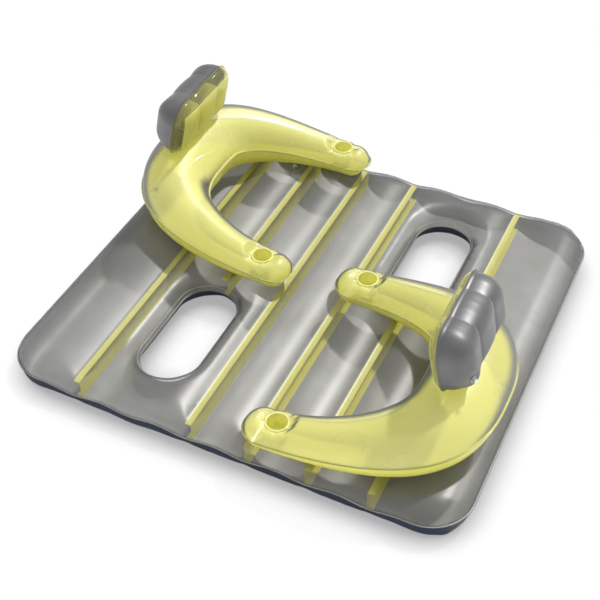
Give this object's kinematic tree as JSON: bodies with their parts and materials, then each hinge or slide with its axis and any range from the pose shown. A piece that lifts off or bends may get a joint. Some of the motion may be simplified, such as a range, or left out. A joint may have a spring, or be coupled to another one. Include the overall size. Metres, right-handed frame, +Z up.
{
  "type": "pool lounger",
  "caption": "Inflatable pool lounger with facing U-shaped backrests, lobed pillows, cup holders in the arm ends and foot wells through a ribbed air mat.",
  "frame": {"origin": "on the ground under the middle of the mat", "axes": "+X across the mat's ribs towards the second backrest, +Y along the ribs, +Z up"},
  "size_m": [1.792, 1.656, 0.6661],
  "materials": {
    "silver_film": "gloss",
    "navy_film": "gloss",
    "smoke_film": "gloss",
    "yellow_film": "gloss",
    "clear_yellow_film": "gloss",
    "rib_film": "gloss",
    "clear_vinyl": "gloss",
    "frosted_plastic": "satin"
  },
  "bodies": {
    "lounger": {"mat_top_film": "silver_film", "mat_bottom_film": "navy_film", "rib_1": "rib_film", "rib_2": "rib_film", "rib_3": "rib_film", "rib_4": "rib_film", "rib_5": "rib_film", "rib_6": "rib_film", "mat_valve_base": "clear_vinyl", "backrest_1_upper_film": "smoke_film", "backrest_1_lower_film": "yellow_film", "backrest_1_valve_base": "clear_vinyl", "cup_holder_1_right": "clear_yellow_film", "cup_holder_1_left": "clear_yellow_film", "backrest_2_upper_film": "smoke_film", "backrest_2_lower_film": "yellow_film", "backrest_2_valve_base": "clear_vinyl", "cup_holder_2_right": "clear_yellow_film", "cup_holder_2_left": "clear_yellow_film"},
    "pillow_1": {"pillow_1_back_film": "silver_film", "pillow_1_front_film": "clear_yellow_film", "pillow_1_left_web": "clear_yellow_film", "pillow_1_right_web": "clear_yellow_film", "pillow_1_valve_base": "clear_vinyl"},
    "pillow_2": {"pillow_2_back_film": "silver_film", "pillow_2_front_film": "clear_yellow_film", "pillow_2_left_web": "clear_yellow_film", "pillow_2_right_web": "clear_yellow_film", "pillow_2_valve_base": "clear_vinyl"},
    "mat_valve_stem": {"mat_valve_stem": "clear_vinyl"},
    "mat_valve_plug": {"mat_valve_plug": "frosted_plastic"},
    "mat_valve_check_flap": {"mat_valve_check_flap": "clear_vinyl"},
    "backrest_1_valve_stem": {"backrest_1_valve_stem": "clear_vinyl"},
    "backrest_1_valve_plug": {"backrest_1_valve_plug": "frosted_plastic"},
    "backrest_1_valve_check_flap": {"backrest_1_valve_check_flap": "clear_vinyl"},
    "backrest_2_valve_stem": {"backrest_2_valve_stem": "clear_vinyl"},
    "backrest_2_valve_plug": {"backrest_2_valve_plug": "frosted_plastic"},
    "backrest_2_valve_check_flap": {"backrest_2_valve_check_flap": "clear_vinyl"},
    "pillow_1_valve_stem": {"pillow_1_valve_stem": "clear_vinyl"},
    "pillow_1_valve_plug": {"pillow_1_valve_plug": "frosted_plastic"},
    "pillow_1_valve_check_flap": {"pillow_1_valve_check_flap": "clear_vinyl"},
    "pillow_2_valve_stem": {"pillow_2_valve_stem": "clear_vinyl"},
    "pillow_2_valve_plug": {"pillow_2_valve_plug": "frosted_plastic"},
    "pillow_2_valve_check_flap": {"pillow_2_valve_check_flap": "clear_vinyl"}
  },
  "joints": [
    {"name": "pillow_1_flex", "type": "hinge", "parent": "lounger", "child": "pillow_1", "pos_m": [-0.71039, 0.36, 0.43213], "axis": [0, 1, 0], "range_deg": [-12, 12], "stiffness_Nm_per_rad": 6},
    {"name": "pillow_2_flex", "type": "hinge", "parent": "lounger", "child": "pillow_2", "pos_m": [0.71039, -0.36, 0.43213], "axis": [0, 1, 0], "range_deg": [-12, 12], "stiffness_Nm_per_rad": 6},
    {"name": "mat_valve_push", "type": "slide", "parent": "lounger", "child": "mat_valve_stem", "axis": [0, -0.6122, 0.7907], "range_m": [0, 0.0075]},
    {"name": "mat_valve_plug_pull", "type": "slide", "parent": "mat_valve_stem", "child": "mat_valve_plug", "axis": [0, 0.6122, -0.7907], "range_m": [0, 0.01]},
    {"name": "mat_valve_flap_open", "type": "hinge", "parent": "mat_valve_stem", "child": "mat_valve_check_flap", "pos_m": [-0.4548, 0.77959, 0.03972], "axis": [0, 0.7907, 0.6122], "range_deg": [0, 60], "stiffness_Nm_per_rad": 0.0005},
    {"name": "backrest_1_valve_push", "type": "slide", "parent": "lounger", "child": "backrest_1_valve_stem", "axis": [0.6926, 0.0656, 0.7183], "range_m": [0, 0.0075]},
    {"name": "backrest_1_valve_plug_pull", "type": "slide", "parent": "backrest_1_valve_stem", "child": "backrest_1_valve_plug", "axis": [-0.6926, -0.0656, -0.7183], "range_m": [0, 0.01]},
    {"name": "backrest_1_valve_flap_open", "type": "hinge", "parent": "backrest_1_valve_stem", "child": "backrest_1_valve_check_flap", "pos_m": [-0.81604, 0.21191, 0.19509], "axis": [-0.1614, 0.9847, 0.0656], "range_deg": [0, 60], "stiffness_Nm_per_rad": 0.0005},
    {"name": "backrest_2_valve_push", "type": "slide", "parent": "lounger", "child": "backrest_2_valve_stem", "axis": [-0.6926, -0.0656, 0.7183], "range_m": [0, 0.0075]},
    {"name": "backrest_2_valve_plug_pull", "type": "slide", "parent": "backrest_2_valve_stem", "child": "backrest_2_valve_plug", "axis": [0.6926, 0.0656, -0.7183], "range_m": [0, 0.01]},
    {"name": "backrest_2_valve_flap_open", "type": "hinge", "parent": "backrest_2_valve_stem", "child": "backrest_2_valve_check_flap", "pos_m": [0.81604, -0.21191, 0.19509], "axis": [0.1614, -0.9847, 0.0656], "range_deg": [0, 60], "stiffness_Nm_per_rad": 0.0005},
    {"name": "pillow_1_valve_push", "type": "slide", "parent": "pillow_1", "child": "pillow_1_valve_stem", "axis": [0.858, -0.5048, -0.0948], "range_m": [0, 0.0075]},
    {"name": "pillow_1_valve_plug_pull", "type": "slide", "parent": "pillow_1_valve_stem", "child": "pillow_1_valve_plug", "axis": [-0.858, 0.5048, 0.0948], "range_m": [0, 0.01]},
    {"name": "pillow_1_valve_flap_open", "type": "hinge", "parent": "pillow_1_valve_stem", "child": "pillow_1_valve_check_flap", "pos_m": [-0.77621, 0.49931, 0.49206], "axis": [0.3589, 0.7213, -0.5924], "range_deg": [0, 60], "stiffness_Nm_per_rad": 0.0005},
    {"name": "pillow_2_valve_push", "type": "slide", "parent": "pillow_2", "child": "pillow_2_valve_stem", "axis": [-0.858, 0.5048, -0.0948], "range_m": [0, 0.0075]},
    {"name": "pillow_2_valve_plug_pull", "type": "slide", "parent": "pillow_2_valve_stem", "child": "pillow_2_valve_plug", "axis": [0.858, -0.5048, 0.0948], "range_m": [0, 0.01]},
    {"name": "pillow_2_valve_flap_open", "type": "hinge", "parent": "pillow_2_valve_stem", "child": "pillow_2_valve_check_flap", "pos_m": [0.77621, -0.49931, 0.49206], "axis": [-0.3589, -0.7213, -0.5924], "range_deg": [0, 60], "stiffness_Nm_per_rad": 0.0005}
  ]
}
